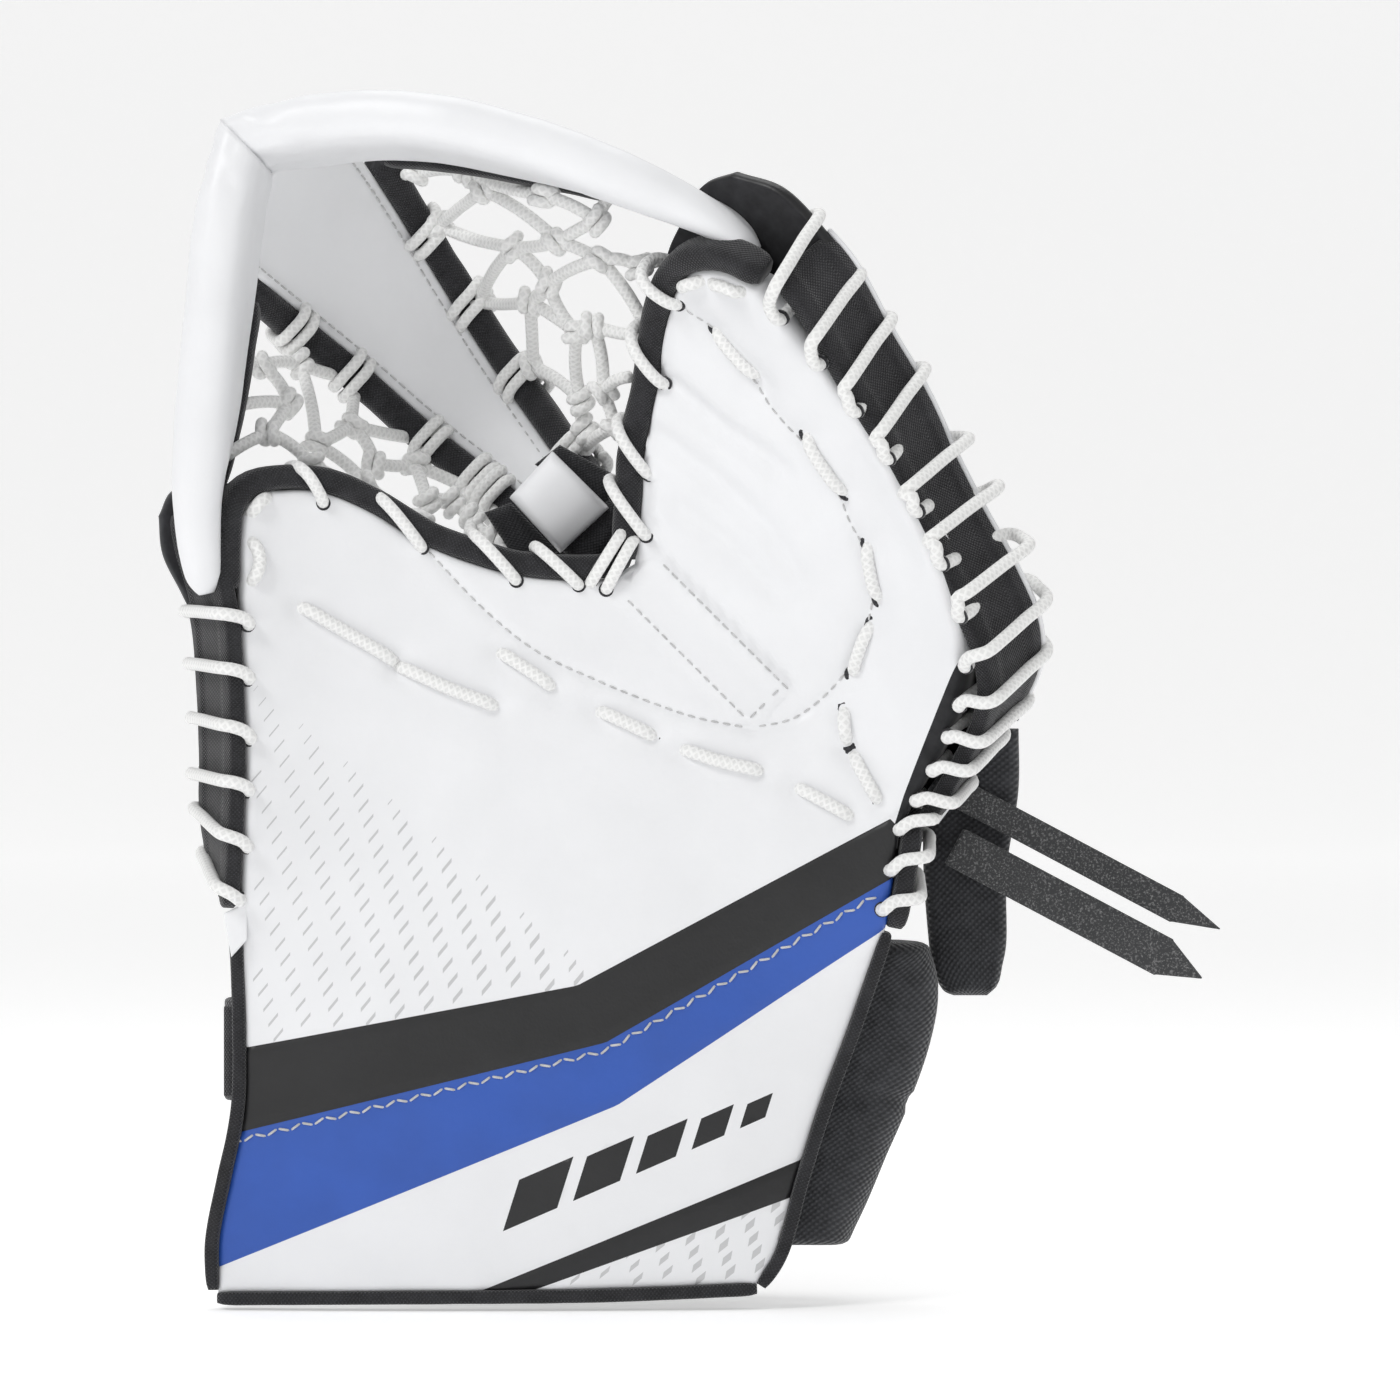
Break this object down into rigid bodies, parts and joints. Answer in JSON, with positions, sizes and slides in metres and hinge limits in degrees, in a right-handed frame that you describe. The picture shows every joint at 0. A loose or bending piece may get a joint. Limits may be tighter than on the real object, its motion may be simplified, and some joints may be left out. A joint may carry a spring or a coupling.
{
  "type": "goalie catch glove",
  "caption": "Ice hockey goalie catch glove with a flat cuff, a hinged palm and finger half, a laced pocket net round a T trap, edge lacing and wrist straps",
  "frame": {"origin": "centre of the wrist opening at the cuff's lower edge", "axes": "+Z from the cuff's edge up to the pocket, +X towards the heel and the fingers' outer edge, -Y is the catching side"},
  "size_m": [0.3721, 0.1444, 0.4241],
  "materials": {
    "white_leather": "smooth synthetic leather, satin",
    "black_leather": "smooth synthetic leather, satin",
    "blue_leather": "smooth synthetic leather, satin",
    "black_nylon": "woven nylon tape",
    "lace": "braided cord",
    "foam": "closed-cell foam",
    "board": "stiff plastic sheet",
    "lining": "brushed lining",
    "speckled_strap": "speckled felt-like strap"
  },
  "bodies": {
    "palm": {"palm_leather": "white_leather", "cuff_black_band": "black_leather", "cuff_blue_band": "blue_leather", "cuff_white_panel": "white_leather", "cuff_black_stripe": "black_leather", "cuff_corner_panel": "white_leather", "palm_foam": "foam", "cuff_foam": "foam", "cuff_board": "board", "cuff_liner": "lining", "palm_liner": "lining", "thumb_liner": "lining", "thumb_shell": "black_leather", "backhand_panel": "black_leather", "thumb_edge_binding": "black_nylon", "palm_pocket_binding": "black_nylon", "heel_binding": "black_nylon", "cuff_trim_left": "black_nylon", "cuff_trim_bottom": "black_nylon", "cuff_trim_right": "black_nylon", "thumb_gusset": "black_nylon", "t_arm_thumb": "white_leather", "t_arm_binding_thumb": "black_nylon", "net_thumb": "lace", "thumb_edge_lace": "lace", "heel_lace": "lace", "palm_tie_laces": "lace", "wrist_pad": "black_leather", "strap_anchor": "black_nylon", "strap_keeper": "black_nylon", "hand_strap": "black_nylon", "break_strip": "white_leather", "backhand_pad": "black_leather"},
    "t_stem": {"t_stem_leather": "white_leather", "t_stem_core": "foam", "t_stem_back": "white_leather", "t_stem_binding_thumb": "black_nylon", "t_stem_binding_finger": "black_nylon", "t_corner": "white_leather"},
    "fingers": {"finger_leather": "white_leather", "finger_foam": "foam", "finger_liner": "lining", "finger_shell": "black_leather", "finger_tip_cap": "black_leather", "finger_side_pad": "black_leather", "finger_edge_binding": "black_nylon", "finger_pocket_binding": "black_nylon", "finger_gusset": "black_nylon", "t_arm_finger": "white_leather", "t_arm_binding_finger": "black_nylon", "net_finger": "lace", "finger_edge_lace": "lace", "finger_tie_laces": "lace"},
    "strap_upper": {"strap_upper": "speckled_strap"},
    "strap_lower": {"strap_lower": "speckled_strap"},
    "wrist_strap": {"wrist_strap": "black_nylon"}
  },
  "joints": [
    {"name": "stem_fold", "type": "hinge", "parent": "palm", "child": "t_stem", "pos_m": [0.133, -0.04, 0.165], "axis": [0.6921, 0.024, -0.7214], "range_deg": [0, 18], "deforming": ["break_strip", "t_corner"]},
    {"name": "finger_fold", "type": "hinge", "parent": "t_stem", "child": "fingers", "pos_m": [0.133, -0.04, 0.165], "axis": [0.6921, 0.024, -0.7214], "range_deg": [0, 18], "deforming": ["break_strip", "t_corner"]},
    {"name": "wrist_strap_hinge", "type": "hinge", "parent": "palm", "child": "wrist_strap", "pos_m": [-0.103, -0.015, 0.086], "axis": [0, 0, 1], "range_deg": [0, 60]},
    {"name": "upper_strap_hinge", "type": "hinge", "parent": "palm", "child": "strap_upper", "pos_m": [0.15, 0.0072, 0.1785], "axis": [-0.4711, 0, -0.8821], "range_deg": [0, 25]},
    {"name": "lower_strap_hinge", "type": "hinge", "parent": "palm", "child": "strap_lower", "pos_m": [0.1465, 0.0022, 0.1615], "axis": [-0.4711, 0, -0.8821], "range_deg": [0, 25]}
  ],
  "couplings": [
    {"joint": "finger_fold", "follows": "stem_fold", "ratio": 1}
  ]
}
